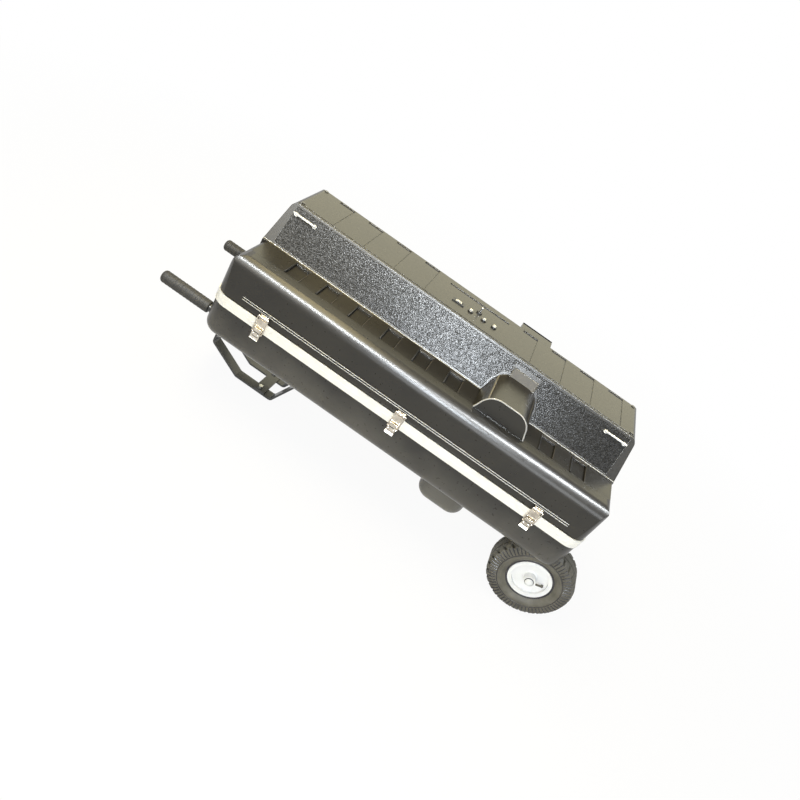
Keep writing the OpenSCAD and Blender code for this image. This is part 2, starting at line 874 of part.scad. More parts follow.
module handle_tube_rear() {
    handle_tube(1);
}

module handle_grip(s) {
    color([0.05, 0.05, 0.05]) place() translate([-half_l - handle_out, s * handle_gap / 2, handle_z])
        rotate([0, 90, 0]) rotate_extrude() rounded([[0, 0, 0], [grip_d / 2, 0, 9],
            [grip_d / 2, grip_l, 4], [tube_d / 2, grip_l, 0], [tube_d / 2, 8, 0], [0, 8, 0]]);
}

module handle_grip_front() {
    handle_grip(-1);
}

module handle_grip_rear() {
    handle_grip(1);
}

module hopper_tray() {
    x0 = wall + skin + 6 - half_l;
    x1 = feed_hi_x + 8;
    wy = half_d - skin - wall - 1.5;
    edge = rail_z + tray_rise;
    color([0.2, 0.2, 0.2]) place() intersection() {
        union() {
            translate([(x0 + x1) / 2, 0, 0]) {
                along_x(x1 - x0) polygon([[-wy, edge - 6], [feed_y - rail_y - rail_t, rail_z],
                    [feed_y - rail_y, rail_z], [feed_y - rail_y, rail_z + 3], [3 - wy, edge], [-wy, edge]]);
                along_x(x1 - x0) polygon([[wy, edge], [wy - 3, edge], [feed_y + rail_y, rail_z + 3],
                    [feed_y + rail_y, rail_z], [feed_y + rail_y + rail_t, rail_z], [wy, edge - 6]]);
            }
            block(x0, x0 + 3, 50 - wy, wy - 50, rail_z, edge);
        }
        translate([0, 0, base_z]) linear_extrude(base_h + valance_h)
            round_rect(half_l - skin - wall - 1, half_d - skin - wall - 1, corner_r - skin - wall - 1);
    }
}

module feed_frame() {
    color([0.6, 0.6, 0.6]) place() difference() {
        union() {
            for (s = [-1, 1]) block(feed_lo_x - 40, feed_hi_x + 8, feed_y + s * (rail_y + rail_t / 2)
                - rail_t / 2, feed_y + s * (rail_y + rail_t / 2) + rail_t / 2, floor_z, rail_z);
            for (x = [feed_lo_x - 40, feed_hi_x - 90])
                block(x, x + 10, feed_y - rail_y - 1, feed_y + rail_y + 1, floor_z, floor_z + 4);
        }
        translate([feed_lo_x, feed_y, feed_lo_z]) rod_y(6 + play, 2 * rail_y + 40);
        translate([feed_hi_x, feed_y, feed_hi_z]) rod_y(6 + play, 2 * rail_y + 40);
    }
}

module on_feed() {
    translate([feed_lo_x, feed_y, feed_lo_z]) rotate([0, -feed_tilt, 0]) children();
}

module belt_loop(r) {
    circle(r = r);
    translate([feed_l, 0]) circle(r = r);
    translate([0, -r]) square([feed_l, 2 * r]);
}

module feed_belt() {
    r = roller_d / 2 + gap;
    color([0.08, 0.1, 0.08]) place() on_feed() {
        along_y(belt_w) difference() {
            belt_loop(r + belt_t);
            belt_loop(r);
        }
        for (k = [0 : cleats - 1])
            translate([20 + k * (feed_l - 60) / (cleats - 1), -belt_w / 2, r + belt_t - 1])
                cube([6, belt_w, 10]);
    }
}

module roller(x, z) {
    color([0.5, 0.5, 0.5]) place() translate([x, feed_y, z]) {
        rod_y(roller_d / 2, belt_w + 4);
        rod_y(6, 2 * rail_y + 2 * rail_t);
    }
}

module drive_roller() {
    roller(feed_hi_x, feed_hi_z);
}

module idler_roller() {
    roller(feed_lo_x, feed_lo_z);
}

module feed_motor() {
    color([0.25, 0.25, 0.25]) place() translate([feed_hi_x, feed_y + rail_y + rail_t, feed_hi_z]) {
        translate([0, 26 + gap, 0]) rod_y(14, 52);
        block(-16, 7, gap, 4, floor_z - feed_hi_z, 14);
    }
}

module feed_chute() {
    x0 = feed_hi_x + 34;
    x1 = head_x + 62;
    z1 = pivot_z - 37;
    y0 = head_y + throw_d / 2 + 10;
    y1 = feed_y + rail_y + 22;
    color([0.6, 0.6, 0.6]) place() {
        translate([(x0 + x1) / 2, 0, 0]) {
            along_x(x1 - x0) polygon([[y0, z1 - 3], [y1, z1 + 2], [y1, z1 + 5], [y0, z1]]);
            along_x(x1 - x0) polygon([[y1 - 3, z1], [y1, z1], [y1, z1 + 40], [y1 - 3, z1 + 40]]);
        }
        block(x1 - 3, x1, y0, y1, z1 - 3, z1 + 40);
        for (x = [x0, x1 - 8], y = [y1 - 20]) block(x, x + 8, y, y + 8, floor_z, z1 + 2);
        for (x = [x0, x1 - 8], y = [front + 300]) block(x, x + 8, y, y + 8, floor_z, z1);
    }
}

module battery() {
    color([0.15, 0.15, 0.17]) place() {
        translate([battery_x, 0, floor_z]) {
            block(-battery_l / 2, battery_l / 2, -battery_w / 2, battery_w / 2, 0, battery_h);
            for (s = [-1, 1]) translate([s * (battery_l / 2 - 20), battery_w / 2 - 25, battery_h - 1])
                cylinder(r = 6, h = 12);
        }
    }
}

module head_stand() {
    color([0.3, 0.3, 0.3]) place() for (s = [-1, 1]) difference() {
        union() {
            translate([pan_x + s * stand_x, head_y, 0]) along_x(5) polygon([[-60, floor_z], [60, floor_z],
                [18, pivot_z + 10], [-18, pivot_z + 10]]);
            block(pan_x + s * (stand_x + 12) - 14, pan_x + s * (stand_x + 12) + 14, head_y - 60, head_y + 60,
                floor_z, floor_z + 4);
        }
        translate([head_x, head_y, pivot_z]) rod_x(6 + play, 400);
    }
}

module head_frame() {
    color([0.65, 0.65, 0.65]) place() translate([head_x, head_y, pivot_z]) difference() {
        union() {
            for (s = [-1, 1]) {
                translate([s * (plate_x + plate_t / 2), 0, 0]) along_x(plate_t) {
                    square([70, 2 * throw_up], center = true);
                    square([156, 108], center = true);
                    for (v = [-1, 1]) translate([0, v * throw_up]) circle(r = 35);
                }
            }
            for (s = [-1, 1])
                let (x0 = s * (plate_x + 1), x1 = pan_x - head_x + s * (stand_x + 4))
                    translate([(x0 + x1) / 2, 0, 0]) rod_x(6, abs(x1 - x0));
            for (y = [-71, 71], z = [-47, 47]) translate([0, y, z]) rod_x(5, 2 * plate_x + 4);
        }
        for (v = [-1, 1]) translate([0, 0, v * throw_up]) rod_x(6 + play, 200);
    }
}

module head_barrel() {
    color([0.1, 0.1, 0.1]) place() translate([head_x, head_y - 78 - 20, pivot_z]) difference() {
        rod_y(40, 40);
        rod_y(36.5, 60);
    }
}

module motor(s) {
    color([0.2, 0.2, 0.22]) place()
        translate([head_x - s * (plate_x + plate_t + 15), head_y, pivot_z + s * throw_up]) difference() {
            rod_x(29, 30);
            translate([s * 10, 0, 0]) rod_x(6 + play, 22);
        }
}

module motor_upper() {
    motor(1);
}

module motor_lower() {
    motor(-1);
}

module throw_wheel(s) {
    color([0.3, 0.05, 0.05]) place() translate([head_x, head_y, pivot_z + s * throw_up]) {
        rotate([0, 90, 0]) rotate_extrude() rounded([[0, -throw_w / 2, 0],
            [throw_d / 2 - 14, -throw_w / 2, 0], [throw_d / 2, 6 - throw_w / 2, 3],
            [throw_d / 2, throw_w / 2 - 6, 3], [throw_d / 2 - 14, throw_w / 2, 0], [0, throw_w / 2, 0]]);
        translate([-s * 7, 0, 0]) rod_x(6, 2 * plate_x + 2 * plate_t + 14);
    }
}

module throw_wheel_upper() {
    throw_wheel(1);
}

module throw_wheel_lower() {
    throw_wheel(-1);
}

base_shell();
base_valance();
latch_plates();
hinge_base_leaves();
axle();
axle_hangers();
axle_caps();
leg_front();
leg_rear();
leg_cross_bar();
leg_bolts();
handle_bushes();
handle_guides();
hopper_tray();
feed_frame();
feed_belt();
feed_motor();
feed_chute();
battery();
head_stand();
lid_shell();
lid_valance();
latch_keepers();
hinge_lid_leaves();
sloped_panel();
panel_pulls();
control_box();
switch_bezel();
button_collars();
lid_screws();
latch_lever_left();
latch_lever_mid();
latch_lever_right();
latch_bail_left();
latch_bail_mid();
latch_bail_right();
tyre_front();
rim_front();
valve_front();
tyre_rear();
rim_rear();
valve_rear();
handle_tube_front();
handle_grip_front();
handle_tube_rear();
handle_grip_rear();
head_frame();
head_barrel();
motor_upper();
motor_lower();
throw_wheel_upper();
throw_wheel_lower();
drive_roller();
idler_roller();
rocker();
button_left();
button_mid();
button_right();
toggle();
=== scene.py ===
import json
import math

import bmesh
import bpy
from mathutils import Matrix, Vector


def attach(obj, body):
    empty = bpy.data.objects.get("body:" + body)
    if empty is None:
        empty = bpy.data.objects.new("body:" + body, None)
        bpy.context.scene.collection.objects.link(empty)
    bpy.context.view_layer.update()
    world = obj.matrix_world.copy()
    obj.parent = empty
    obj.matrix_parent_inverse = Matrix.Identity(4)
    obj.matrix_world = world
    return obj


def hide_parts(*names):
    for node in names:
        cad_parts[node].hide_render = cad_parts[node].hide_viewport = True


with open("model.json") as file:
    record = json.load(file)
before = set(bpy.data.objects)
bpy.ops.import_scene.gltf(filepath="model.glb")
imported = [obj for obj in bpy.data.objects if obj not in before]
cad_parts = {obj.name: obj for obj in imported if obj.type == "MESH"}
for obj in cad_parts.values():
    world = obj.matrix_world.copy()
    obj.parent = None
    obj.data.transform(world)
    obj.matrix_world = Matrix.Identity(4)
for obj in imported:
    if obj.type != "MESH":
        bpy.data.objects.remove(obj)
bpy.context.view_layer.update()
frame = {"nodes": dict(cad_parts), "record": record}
NODES = frame["nodes"]
SCENE = bpy.context.scene


# Node helpers


def add(tree, kind, inputs=None, **props):
    """A shader node with its properties set and its inputs set or linked."""
    made = tree.nodes.new(kind)
    for key, value in props.items():
        setattr(made, key, value)
    for key, value in (inputs or {}).items():
        if isinstance(value, bpy.types.NodeSocket):
            tree.links.new(value, made.inputs[key])
        else:
            made.inputs[key].default_value = value
    return made


def rgba(colour):
    """A colour with an alpha of 1."""
    return (*colour, 1.0)


def object_coords(tree):
    """Places on the object in metres."""
    return add(tree, "ShaderNodeTexCoord").outputs["Object"]


def noise(tree, coords, scale, detail=3.0, rough=0.55):
    """Soft noise between 0 and 1."""
    inputs = {"Vector": coords, "Scale": scale, "Detail": detail, "Roughness": rough}
    return add(tree, "ShaderNodeTexNoise", inputs).outputs["Fac"]


def remap(tree, value, low, high, to_low, to_high):
    """A value taken from one range to another and held inside it."""
    inputs = {"Value": value, "From Min": low, "From Max": high, "To Min": to_low, "To Max": to_high}
    return add(tree, "ShaderNodeMapRange", inputs).outputs["Result"]


def calc(tree, operation, *values):
    """The result of one math operation on values or sockets."""
    return add(tree, "ShaderNodeMath", dict(enumerate(values)), operation=operation).outputs[0]


def blend_colours(tree, factor, first, second):
    """The first colour at factor 0 and the second at factor 1."""
    mix = add(tree, "ShaderNodeMix", data_type="RGBA")
    for index, value in ((0, factor), (6, first), (7, second)):
        if isinstance(value, bpy.types.NodeSocket):
            tree.links.new(value, mix.inputs[index])
        else:
            mix.inputs[index].default_value = value
    return mix.outputs[2]


def bump(tree, height, strength, distance, normal=None):
    """Normals for a height pattern of a given depth in metres."""
    inputs = {"Height": height, "Strength": strength, "Distance": distance}
    if normal is not None:
        inputs["Normal"] = normal
    return add(tree, "ShaderNodeBump", inputs).outputs["Normal"]


def soft_edges(tree, radius):
    """Normals that round off the edges by a small radius."""
    return add(tree, "ShaderNodeBevel", {"Radius": radius}, samples=4).outputs["Normal"]


def hollow(tree, distance, inside=False):
    """0 deep in a corner, or with inside on a sharp outer edge, and 1 in the open."""
    props = {"samples": 6, "inside": inside, "only_local": True}
    return add(tree, "ShaderNodeAmbientOcclusion", {"Distance": distance}, **props).outputs["AO"]


EDGE_AND_CORNER_REACH = 0.003
# Colour of the painted shade in the inner corners.
PAINTED_CORNER_SHADE = (0.003, 0.0027, 0.002)
PALE_TOP = 0.38
PALE_FOOT = 0.14
PALE_RAGGED = 0.12


def wear_highlight_and_shade(tree, at, colour, edge_wear_and_highlight):
    """Lighter outer edges, painted as rubbed wear and as the highlight they catch, broken up by noise, and
    painted shade in the inner corners.
    """
    # Outer edges take the pale edge colour, which paints wear and highlight together.
    edge = remap(tree, hollow(tree, EDGE_AND_CORNER_REACH, True), 0.62, 0.30, 0.0, 1.0)
    broken = remap(tree, noise(tree, at, 14.0, 5.0), 0.30, 0.62, 0.35, 1.0)
    colour = blend_colours(tree, calc(tree, "MULTIPLY", edge, broken), colour, rgba(edge_wear_and_highlight))
    # Painted shade: the inner corners are darkened in colour.
    corner_shade = remap(tree, hollow(tree, 3.0 * EDGE_AND_CORNER_REACH), 0.35, 0.80, 1.0, 0.0)
    return blend_colours(tree, corner_shade, colour, rgba(PAINTED_CORNER_SHADE)), corner_shade


def material(name, **fixed):
    """An empty procedural material and its shader, with fixed socket values."""
    made = bpy.data.materials.new(name)
    made.use_nodes = True
    tree = made.node_tree
    shader = tree.nodes["Principled BSDF"]
    for key, value in fixed.items():
        shader.inputs[key.replace("_", " ")].default_value = value
    return made, tree, shader


def paler_foot(tree, at, colour, pale_tone):
    """A paler tone from a height down to the foot, broken up by noise."""
    height = add(tree, "ShaderNodeSeparateXYZ", {"Vector": at}).outputs["Z"]
    ragged = calc(tree, "MULTIPLY_ADD", noise(tree, at, 9.0, 5.0), PALE_RAGGED, height)
    amount = remap(tree, ragged, PALE_TOP, PALE_FOOT, 0.0, 1.0)
    return blend_colours(tree, amount, colour, rgba(pale_tone))


def plastic(
    name, dark, light, rough, grain, depth, edge=0.0012, specular=0.5, pale_tone=None, edge_wear_and_highlight=None, sparkle=False
):
    """Moulded plastic with soft edges: pebbles of a given size and depth in metres, and, if asked for, outer
    edges lightened as wear and painted highlight together, with painted shade in the inner corners.
    """
    made, tree, shader = material(name, Specular_IOR_Level=specular)
    at = object_coords(tree)
    patch = noise(tree, at, 6.0, 4.0)
    fine = noise(tree, at, 0.3 / grain, 3.0)
    colour = blend_colours(tree, remap(tree, patch, 0.35, 0.7, 0.0, 1.0), rgba(dark), rgba(light))
    if pale_tone:
        colour = paler_foot(tree, at, colour, pale_tone)
    if edge_wear_and_highlight:
        colour, corner_shade = wear_highlight_and_shade(tree, at, colour, edge_wear_and_highlight)
        # The painted shade in the corners also dims the reflection there.
        tree.links.new(remap(tree, corner_shade, 0.0, 1.0, specular, 0.05), shader.inputs["Specular IOR Level"])
    tree.links.new(colour, shader.inputs["Base Color"])
    if sparkle:
        cell = add(tree, "ShaderNodeTexVoronoi", {"Vector": at, "Scale": 1.0 / grain}).outputs["Color"]
        facet = remap(tree, cell, 0.3, 0.7, 0.45 * specular, 1.55 * specular)
        tree.links.new(facet, shader.inputs["Specular IOR Level"])
    gloss = remap(tree, fine, 0.3, 0.7, rough - 0.02, rough + 0.03)
    tree.links.new(gloss, shader.inputs["Roughness"])
    pebble = add(tree, "ShaderNodeTexVoronoi", {"Vector": at, "Scale": 1.0 / grain}, feature="SMOOTH_F1")
    pebble.inputs["Smoothness"].default_value = 0.5
    ripple = bump(tree, pebble.outputs["Distance"], 1.0, depth, soft_edges(tree, edge))
    tree.links.new(ripple, shader.inputs["Normal"])
    return made


def metal(name, colour, shade, rough, streak=(1.0, 1.0, 40.0), depth=0.00004, edge=0.0005, metallic=1.0):
    """Plated or bare metal with fine drawn streaks and smudges."""
    made, tree, shader = material(name, Metallic=metallic)
    at = object_coords(tree)
    stretched = add(tree, "ShaderNodeMapping", {"Vector": at, "Scale": streak}).outputs["Vector"]
    lines = noise(tree, stretched, 60.0, 4.0)
    smudge = noise(tree, at, 35.0, 3.0)
    tone = blend_colours(tree, remap(tree, smudge, 0.3, 0.75, 0.0, 1.0), rgba(colour), rgba(shade))
    tree.links.new(tone, shader.inputs["Base Color"])
    gloss = remap(tree, lines, 0.25, 0.75, rough - 0.06, rough + 0.1)
    tree.links.new(gloss, shader.inputs["Roughness"])
    ripple = bump(tree, lines, 0.35, depth, soft_edges(tree, edge))
    tree.links.new(ripple, shader.inputs["Normal"])
    return made


def painted(name, colour, shade, rough, coat, edge=0.0006):
    """Paint on metal with a slight orange peel and dull patches."""
    made, tree, shader = material(name, Coat_Weight=coat, Coat_Roughness=0.12)
    at = object_coords(tree)
    patch = noise(tree, at, 18.0, 4.0)
    peel = noise(tree, at, 650.0, 2.0)
    tone = blend_colours(tree, remap(tree, patch, 0.35, 0.7, 0.0, 1.0), rgba(colour), rgba(shade))
    tree.links.new(tone, shader.inputs["Base Color"])
    tree.links.new(remap(tree, patch, 0.3, 0.7, rough - 0.05, rough + 0.08), shader.inputs["Roughness"])
    tree.links.new(bump(tree, peel, 0.25, 0.0001, soft_edges(tree, edge)), shader.inputs["Normal"])
    return made


def rubber(name, colour, pale_tone, rough, grain=900.0, depth=0.0002):
    """Rubber with a dusty bloom and a fine matt grain."""
    made, tree, shader = material(name, Specular_IOR_Level=0.35)
    at = object_coords(tree)
    bloom = noise(tree, at, 22.0, 5.0, 0.6)
    fine = noise(tree, at, grain, 3.0)
    tone = blend_colours(tree, remap(tree, bloom, 0.4, 0.75, 0.0, 1.0), rgba(colour), rgba(pale_tone))
    tree.links.new(tone, shader.inputs["Base Color"])
    tree.links.new(remap(tree, fine, 0.3, 0.7, rough - 0.08, rough + 0.1), shader.inputs["Roughness"])
    tree.links.new(bump(tree, fine, 0.4, depth, soft_edges(tree, 0.0006)), shader.inputs["Normal"])
    return made


# Materials: one for each slot of the record, one for the tub that is paler towards its foot and four for
# details, of which one paints highlights, one a warm sheen and one shade


FINISHES = {
    "black_shell": plastic(
        "shell_black", (0.0140, 0.0122, 0.0085), (0.0220, 0.0192, 0.0130), 0.29, 0.0030, 0.00009, edge=0.0035,
        specular=0.45, edge_wear_and_highlight=(0.30, 0.27, 0.19),
    ),
    "pale_foot_shell": plastic(
        "tub_black", (0.020, 0.0180, 0.0150), (0.029, 0.0265, 0.0225), 0.29, 0.0030, 0.00009, edge=0.0035,
        specular=0.45, pale_tone=(0.150, 0.142, 0.120), edge_wear_and_highlight=(0.20, 0.19, 0.16),
    ),
    "panel_grain": plastic(
        "panel_black", (0.018, 0.0178, 0.0170), (0.025, 0.0248, 0.0240), 0.25, 0.0031, 0.00034, edge=0.0006,
        specular=0.22, sparkle=True,
    ),
    # Pale beads that paint highlight lines along edges.
    "painted_highlight": plastic(
        "painted_highlight", (0.42, 0.415, 0.40), (0.56, 0.55, 0.53), 0.24, 0.0020, 0.00006, edge=0.0004,
    ),
    # A lighter, browner copy of the shell that paints the warm sheen of lit faces.
    "warm_sheen_shell": rubber("warm_sheen_shell", (0.040, 0.032, 0.017), (0.060, 0.049, 0.028), 0.62, 900.0, 0.0003),
    # Near black, for painted shade in the slots.
    "slot_shade": rubber("slot_shade", (0.010, 0.008, 0.005), (0.018, 0.015, 0.010), 0.88, 900.0, 0.0002),
    "foot_rubber": rubber("foot_rubber", (0.030, 0.027, 0.030), (0.050, 0.046, 0.050), 0.30, 300.0, 0.0001),
    "band": metal(
        "band_aluminium", (0.86, 0.845, 0.79), (0.78, 0.765, 0.71), 0.34,
        streak=(0.5, 6.0, 40.0), metallic=0.3,
    ),
    "latch_nickel": metal("latch_nickel", (0.74, 0.68, 0.58), (0.36, 0.32, 0.26), 0.2),
    "hinge_steel": metal("bright_steel", (0.62, 0.62, 0.61), (0.5, 0.5, 0.49), 0.27),
    "frame_alu": metal("sheet_aluminium", (0.68, 0.69, 0.70), (0.6, 0.61, 0.62), 0.36),
    "leg_black": painted("leg_paint", (0.022, 0.022, 0.021), (0.03, 0.03, 0.028), 0.38, 0.3),
    "bolt_zinc": metal("zinc_plate", (0.77, 0.77, 0.75), (0.66, 0.66, 0.62), 0.25),
    "black_plastic": plastic(
        "trim_black", (0.012, 0.012, 0.012), (0.019, 0.019, 0.018), 0.38, 0.0012, 0.00005, edge=0.0005,
    ),
    "screw_black": painted("screw_black", (0.03, 0.029, 0.027), (0.045, 0.042, 0.038), 0.33, 0.2),
    "tray_grey": plastic("tray_grey", (0.10, 0.10, 0.10), (0.13, 0.13, 0.128), 0.5, 0.0018, 0.00006),
    "belt_rubber": rubber("belt_rubber", (0.03, 0.036, 0.03), (0.055, 0.06, 0.052), 0.62),
    "motor_grey": painted("motor_grey", (0.11, 0.11, 0.12), (0.14, 0.14, 0.15), 0.4, 0.25),
    "battery_grey": plastic("battery_grey", (0.06, 0.06, 0.068), (0.08, 0.08, 0.086), 0.45, 0.0015, 0.00006),
    "pull_white": painted("pull_white", (0.90, 0.90, 0.88), (0.82, 0.82, 0.80), 0.25, 0.6),
    "tyre_rubber": rubber("tyre_rubber", (0.080, 0.074, 0.056), (0.140, 0.130, 0.102), 0.62, 700.0, 0.0004),
    "rim_white": painted("rim_white", (0.80, 0.80, 0.80), (0.73, 0.73, 0.72), 0.32, 0.4),
    "grip_rubber": rubber("grip_rubber", (0.03, 0.028, 0.025), (0.05, 0.047, 0.041), 0.6, 500.0, 0.0004),
    "throw_rubber": rubber("throw_rubber", (0.26, 0.045, 0.035), (0.31, 0.07, 0.055), 0.58),
    "switch_white": plastic(
        "switch_white", (0.80, 0.80, 0.79), (0.86, 0.86, 0.85), 0.3, 0.0008, 0.00002, edge=0.0005,
    ),
    "toggle_chrome": metal("toggle_bright", (0.70, 0.70, 0.69), (0.58, 0.58, 0.57), 0.2),
}


def dress(obj, finish):
    """Gives an object one material."""
    obj.data.materials.clear()
    obj.data.materials.append(finish)


for part in frame["record"]["subparts"]:
    dress(NODES[part["node"]], FINISHES[part["material_slot"]])
dress(NODES["base_shell"], FINISHES["pale_foot_shell"])


# The lid again, without the folds of no thickness that its mesh has at the ends of the top


TWIN_STEP = 0.00005
SLIVER_AREA = 2e-6
SLIVER_REACH = 0.0001
WELD = 1e-6
FLAT_ANGLE = 0.01
END_WALL_LEAN = 0.992
END_WALL_SLACK = 0.004
END_WALL_FOOT = 0.475
PLANE_DIGITS = 3


def in_order(items):
    """The items once each in the order they come, so that every run builds the same mesh."""
    return list(dict.fromkeys(items))


def drop_twins(mesh):
    """Deletes pairs of faces that lie on each other, back to back."""
    places = {}
    for face in mesh.faces:
        corners = tuple(sorted(tuple(round(c / TWIN_STEP) for c in vert.co) for vert in face.verts))
        places.setdefault(corners, []).append(face)
    twins = [face for faces in places.values() if len(faces) > 1 for face in faces]
    bmesh.ops.delete(mesh, geom=twins, context="FACES_ONLY")


def end_walls(mesh):
    """Leaning end walls above the plateau whose faces look both ways, as one list of faces for each way."""
    walls = {}
    for face in mesh.faces:
        lean = face.normal
        leans = abs(abs(lean.x) - END_WALL_LEAN) < END_WALL_SLACK
        if leans and face.calc_center_median().z > END_WALL_FOOT:
            side = 1 if lean.x > 0 else -1
            plane = round(side * lean.dot(face.verts[0].co), PLANE_DIGITS)
            walls.setdefault(plane, {}).setdefault(side, []).append(face)
    return [list(sides.values()) for sides in walls.values() if len(sides) == 2]


def trim_folds(mesh):
    """Ends each end wall where the faces that lie back on it begin."""
    for sides in end_walls(mesh):
        back, wall = sorted(sides, key=lambda faces: sum(face.calc_area() for face in faces))
        height = min(vert.co.z for face in back for vert in face.verts)
        lean, foot = wall[0].normal.copy(), wall[0].verts[0].co.copy()
        slivers = [
            face for face in mesh.faces
            if face.calc_area() < SLIVER_AREA
            and max(vert.co.z for vert in face.verts) > height + SLIVER_REACH
            and all(abs(lean.dot(vert.co - foot)) < SLIVER_REACH for vert in face.verts)
        ]
        bmesh.ops.delete(mesh, geom=back + slivers, context="FACES_ONLY")
        loose = bmesh.ops.split(mesh, geom=wall)["geom"]
        kept = bmesh.ops.bisect_plane(
            mesh, geom=loose, dist=WELD, plane_co=(0, 0, height), plane_no=(0, 0, 1), clear_outer=True
        )["geom"]
        verts = in_order(item for item in kept if isinstance(item, bmesh.types.BMVert) and item.is_valid)
        edges = in_order(edge for vert in verts for edge in vert.link_edges)
        bmesh.ops.dissolve_limit(mesh, angle_limit=FLAT_ANGLE, verts=verts, edges=edges)


def make_lid():
    """Stands for the CAD lid: the same mesh with its folds taken out."""
    mesh = bmesh.new()
    mesh.from_mesh(NODES["lid_shell"].data)
    drop_twins(mesh)
    trim_folds(mesh)
    stray_edges = [edge for edge in mesh.edges if not edge.link_faces]
    bmesh.ops.delete(mesh, geom=stray_edges, context="EDGES")
    stray_verts = [vert for vert in mesh.verts if not vert.link_faces]
    bmesh.ops.delete(mesh, geom=stray_verts, context="VERTS")
    data = bpy.data.meshes.new("lid_moulding")
    mesh.to_mesh(data)
    mesh.free()
    lid = bpy.data.objects.new("lid_moulding", data)
    SCENE.collection.objects.link(lid)
    dress(lid, FINISHES["black_shell"])
    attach(lid, "lid")
    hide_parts("lid_shell")


make_lid()


# Detail pieces, in millimetres of the case and carried by its bodies


MM = 0.001
JOINTS = frame["record"]["behaviour"]["joints"]
PIVOTS = {joint["child"]: joint["pos_m"] for joint in JOINTS if "pos_m" in joint}
CASE_X = PIVOTS["lid"][0] / MM
RIVET_TAPER = 0.62
SHARP_ANGLE = math.radians(40)


def case_point(x, y, z):
    """A point of the case in metres of the shared frame."""
    return Vector((x + CASE_X, y, z)) * MM


def add_block(mesh, low, high, soft=0.4):
    """A box between two corners with softened edges."""
    low, high = case_point(*low), case_point(*high)
    size = Matrix.Diagonal((*(high - low), 1.0))
    place = Matrix.Translation((low + high) / 2) @ size
    verts = bmesh.ops.create_cube(mesh, size=1.0, matrix=place)["verts"]
    edges = in_order(edge for vert in verts for edge in vert.link_edges)
    bmesh.ops.bevel(mesh, geom=edges, offset=soft * MM, segments=2, affect="EDGES", profile=0.5)


def add_dome(mesh, centre, axis, radius, height):
    """A rivet head that stands on centre along axis."""
    turn = Vector(axis).to_track_quat("Z", "Y").to_matrix().to_4x4()
    rise = Matrix.Translation((0.0, 0.0, height * MM / 2))
    place = Matrix.Translation(case_point(*centre)) @ turn @ rise
    bmesh.ops.create_cone(
        mesh, cap_ends=True, segments=20, radius1=radius * MM, radius2=radius * RIVET_TAPER * MM,
        depth=height * MM, matrix=place,
    )


def add_bead(mesh, points, radius, closed=False, sides=8):
    """A round bead swept along points."""
    path = [case_point(*point) for point in points]
    count = len(path)
    rings = []
    for index, here in enumerate(path):
        before = path[index - 1] if closed or index else here
        after = path[(index + 1) % count] if closed or index < count - 1 else here
        ahead = (after - before).normalized()
        across = ahead.orthogonal() if not rings else across - ahead * across.dot(ahead)
        across = across.normalized()
        above = ahead.cross(across)
        turns = [2 * math.pi * side / sides for side in range(sides)]
        rings.append([
            mesh.verts.new(here + MM * radius * (math.cos(turn) * across + math.sin(turn) * above))
            for turn in turns
        ])
    pairs = list(zip(rings, rings[1:]))
    if closed:
        twist = min(range(sides), key=lambda shift: (rings[0][shift].co - rings[-1][0].co).length)
        pairs.append((rings[-1], rings[0][twist:] + rings[0][:twist]))
    for first, second in pairs:
        for side in range(sides):
            other = (side + 1) % sides
            mesh.faces.new((first[side], first[other], second[other], second[side]))
    if not closed:
        mesh.faces.new(rings[0][::-1])
        mesh.faces.new(rings[-1])


def add_plate(mesh, corners, thick):
    """A flat plate on four corners that stands out along their normal."""
    lower = [case_point(*corner) for corner in corners]
    out = (lower[1] - lower[0]).cross(lower[2] - lower[1]).normalized() * thick * MM
    below = [mesh.verts.new(point) for point in lower]
    above = [mesh.verts.new(point + out) for point in lower]
    mesh.faces.new(below[::-1])
    mesh.faces.new(above)
    for side in range(4):
        other = (side + 1) % 4
        mesh.faces.new((below[side], below[other], above[other], above[side]))


def circle(centre, radius, axis, count):
    """Points of a circle about the X or Y axis."""
    points = []
    for index in range(count):
        turn = 2 * math.pi * index / count
        one, two = radius * math.cos(turn), radius * math.sin(turn)
        offset = (0.0, one, two) if axis == "X" else (one, 0.0, two)
        points.append(tuple(a + b for a, b in zip(centre, offset)))
    return points


def detail(name, body, finish, slot, build):
    """A detail piece built by a function that fills a mesh, dressed and carried by a body."""
    mesh = bmesh.new()
    build(mesh)
    bmesh.ops.recalc_face_normals(mesh, faces=mesh.faces)
    data = bpy.data.meshes.new(name)
    mesh.to_mesh(data)
    mesh.free()
    data.polygons.foreach_set("use_smooth", [True] * len(data.polygons))
    data.set_sharp_from_angle(angle=SHARP_ANGLE)
    made = bpy.data.objects.new(name, data)
    SCENE.collection.objects.link(made)
    dress(made, FINISHES[finish])
    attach(made, body)


PITCH = 105
PLATEAU_Z = 476.0
POCKET_COUNT = 10
FIRST_POCKET_X = -457
UNDER_HOOD = (6, 7)
POCKET_XS = [FIRST_POCKET_X + PITCH * k for k in range(POCKET_COUNT) if k not in UNDER_HOOD]
EDGE_FOOT = PLATEAU_Z - 2.0
EDGE_TOP = PLATEAU_Z + 4.0
EDGE_BACK = -82.0
BACK_EDGE_HALF = 26.0
BACK_EDGE_Y = (-84.0, -81.0)
FINE_EDGE_X = (22.5, 24.5)
FINE_EDGE_FRONT = -160.0
FINE_EDGE_TOP = PLATEAU_Z + 1.5
LEFT_EDGE_X = (-26.0, -22.5)
LEFT_EDGE_FRONT = -163.0


